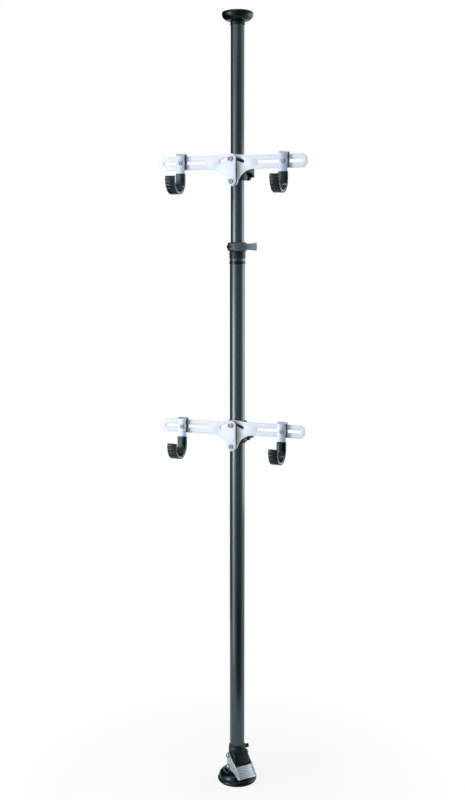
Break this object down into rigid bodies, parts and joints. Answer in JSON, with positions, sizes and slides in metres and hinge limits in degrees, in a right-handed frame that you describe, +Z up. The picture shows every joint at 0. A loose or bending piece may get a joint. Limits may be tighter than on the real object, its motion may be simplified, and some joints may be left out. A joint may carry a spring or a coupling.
{
  "type": "bicycle storage stand",
  "caption": "Floor-to-ceiling telescopic pole braced by a foot pedal, with sliding mounts whose slotted arms carry rubber-covered hooks for bicycles.",
  "frame": {"origin": "centre of the foot's underside, on the floor and on the pole's axis", "axes": "+Z up along the pole, X along the arms with +X to the right seen from the front, -Y to the front, where the hooks point"},
  "size_m": [0.429, 0.1956, 2.21],
  "materials": {
    "rubber": "satin",
    "steel": "satin",
    "black_cast": "matte black",
    "black_plastic": "matte",
    "grey_lever": "satin",
    "tube": "anodised, satin",
    "satin_aluminium": "satin",
    "bolts": "satin"
  },
  "bodies": {
    "foot": {"foot_pad": "rubber", "foot_bracket": "steel", "foot_spigot": "steel"},
    "pole_lower": {"lower_tube": "tube", "collar_sleeve": "black_plastic", "tube_band": "black_plastic", "collar": "black_cast", "collar_draw_bolt": "bolts", "collar_lever_pin": "bolts", "foot_housing": "black_cast", "foot_housing_screw": "black_plastic", "pedal_pivot_bolt_left": "bolts", "pedal_pivot_bolt_right": "bolts"},
    "pedal": {"foot_pedal": "satin_aluminium", "pedal_link_bolt_left": "bolts", "pedal_link_bolt_right": "bolts"},
    "foot_links": {"foot_link_left": "steel", "foot_link_right": "steel"},
    "collar_lever": {"collar_lever": "grey_lever"},
    "pole_upper": {"upper_tube": "tube", "upper_tube_bush": "black_plastic", "cap_plug": "black_plastic", "cap_pad": "rubber"},
    "upper_carriage": {"upper_liner": "black_plastic"},
    "upper_clamp": {"upper_clamp": "black_cast", "upper_clamp_draw_bolt": "bolts", "upper_clamp_lever_pin": "bolts", "upper_arm_spacer": "black_plastic", "upper_pivot_bolt": "bolts", "upper_lock_bolt": "bolts"},
    "upper_clamp_lever": {"upper_clamp_lever": "black_plastic"},
    "upper_arm_left": {"upper_arm_left": "satin_aluminium"},
    "upper_hook_left": {"upper_hook_left_strap": "steel", "upper_hook_left_rubber": "rubber", "upper_hook_left_slider": "black_plastic", "upper_hook_left_bolt": "bolts"},
    "upper_arm_right": {"upper_arm_right": "satin_aluminium"},
    "upper_hook_right": {"upper_hook_right_strap": "steel", "upper_hook_right_rubber": "rubber", "upper_hook_right_slider": "black_plastic", "upper_hook_right_bolt": "bolts"},
    "lower_carriage": {"lower_liner": "black_plastic"},
    "lower_clamp": {"lower_clamp": "black_cast", "lower_clamp_draw_bolt": "bolts", "lower_clamp_lever_pin": "bolts", "lower_arm_spacer": "black_plastic", "lower_pivot_bolt": "bolts", "lower_lock_bolt": "bolts"},
    "lower_clamp_lever": {"lower_clamp_lever": "black_plastic"},
    "lower_arm_left": {"lower_arm_left": "satin_aluminium"},
    "lower_hook_left": {"lower_hook_left_strap": "steel", "lower_hook_left_rubber": "rubber", "lower_hook_left_slider": "black_plastic", "lower_hook_left_bolt": "bolts"},
    "lower_arm_right": {"lower_arm_right": "satin_aluminium"},
    "lower_hook_right": {"lower_hook_right_strap": "steel", "lower_hook_right_rubber": "rubber", "lower_hook_right_slider": "black_plastic", "lower_hook_right_bolt": "bolts"}
  },
  "joints": [
    {"name": "foot_lift", "type": "slide", "parent": "foot", "child": "pole_lower", "axis": [0, 0, 1], "range_m": [-0.0108, 0]},
    {"name": "pedal_hinge", "type": "hinge", "parent": "pole_lower", "child": "pedal", "pos_m": [0, 0, 0.08], "axis": [0.6428, 0.766, 0], "range_deg": [-30, 0]},
    {"name": "link_hinge", "type": "hinge", "parent": "pedal", "child": "foot_links", "pos_m": [0, 0, 0.046], "axis": [0.6428, 0.766, 0], "range_deg": [0, 71]},
    {"name": "collar_lever_hinge", "type": "hinge", "parent": "pole_lower", "child": "collar_lever", "pos_m": [-0.00705, -0.02803, 1.5778], "axis": [0, 0, 1], "range_deg": [-110, 0]},
    {"name": "telescope", "type": "slide", "parent": "pole_lower", "child": "pole_upper", "axis": [0, 0, 1], "range_m": [-0.09, 0.6]},
    {"name": "upper_mount_slide", "type": "slide", "parent": "pole_upper", "child": "upper_carriage", "axis": [0, 0, 1], "range_m": [-0.05, 0.28]},
    {"name": "upper_mount_swivel", "type": "hinge", "parent": "upper_carriage", "child": "upper_clamp", "pos_m": [0, 0, 1.755], "axis": [0, 0, 1], "continuous": true},
    {"name": "upper_clamp_lever_hinge", "type": "hinge", "parent": "upper_clamp", "child": "upper_clamp_lever", "pos_m": [0.018, 0.036, 1.787], "axis": [0, 0, 1], "range_deg": [0, 90]},
    {"name": "upper_arm_left_tilt", "type": "hinge", "parent": "upper_clamp", "child": "upper_arm_left", "pos_m": [0, 0, 1.755], "axis": [0, 1, 0], "range_deg": [0, 28]},
    {"name": "upper_hook_left_slide", "type": "slide", "parent": "upper_arm_left", "child": "upper_hook_left", "axis": [-1, 0, 0], "range_m": [-0.07, 0.048]},
    {"name": "upper_arm_right_tilt", "type": "hinge", "parent": "upper_clamp", "child": "upper_arm_right", "pos_m": [0, 0, 1.755], "axis": [0, -1, 0], "range_deg": [0, 28]},
    {"name": "upper_hook_right_slide", "type": "slide", "parent": "upper_arm_right", "child": "upper_hook_right", "axis": [1, 0, 0], "range_m": [-0.07, 0.048]},
    {"name": "lower_mount_slide", "type": "slide", "parent": "pole_lower", "child": "lower_carriage", "axis": [0, 0, 1], "range_m": [-0.72, 0.42]},
    {"name": "lower_mount_swivel", "type": "hinge", "parent": "lower_carriage", "child": "lower_clamp", "pos_m": [0, 0, 1.018], "axis": [0, 0, 1], "continuous": true},
    {"name": "lower_clamp_lever_hinge", "type": "hinge", "parent": "lower_clamp", "child": "lower_clamp_lever", "pos_m": [0.018, 0.036, 1.05], "axis": [0, 0, 1], "range_deg": [0, 90]},
    {"name": "lower_arm_left_tilt", "type": "hinge", "parent": "lower_clamp", "child": "lower_arm_left", "pos_m": [0, 0, 1.018], "axis": [0, 1, 0], "range_deg": [0, 28]},
    {"name": "lower_hook_left_slide", "type": "slide", "parent": "lower_arm_left", "child": "lower_hook_left", "axis": [-1, 0, 0], "range_m": [-0.07, 0.048]},
    {"name": "lower_arm_right_tilt", "type": "hinge", "parent": "lower_clamp", "child": "lower_arm_right", "pos_m": [0, 0, 1.018], "axis": [0, -1, 0], "range_deg": [0, 28]},
    {"name": "lower_hook_right_slide", "type": "slide", "parent": "lower_arm_right", "child": "lower_hook_right", "axis": [1, 0, 0], "range_m": [-0.07, 0.048]}
  ],
  "couplings": [
    {"joint": "pedal_hinge", "follows": "foot_lift", "rad_per_m": 48.11},
    {"joint": "link_hinge", "follows": "foot_lift", "rad_per_m": -113.6}
  ]
}
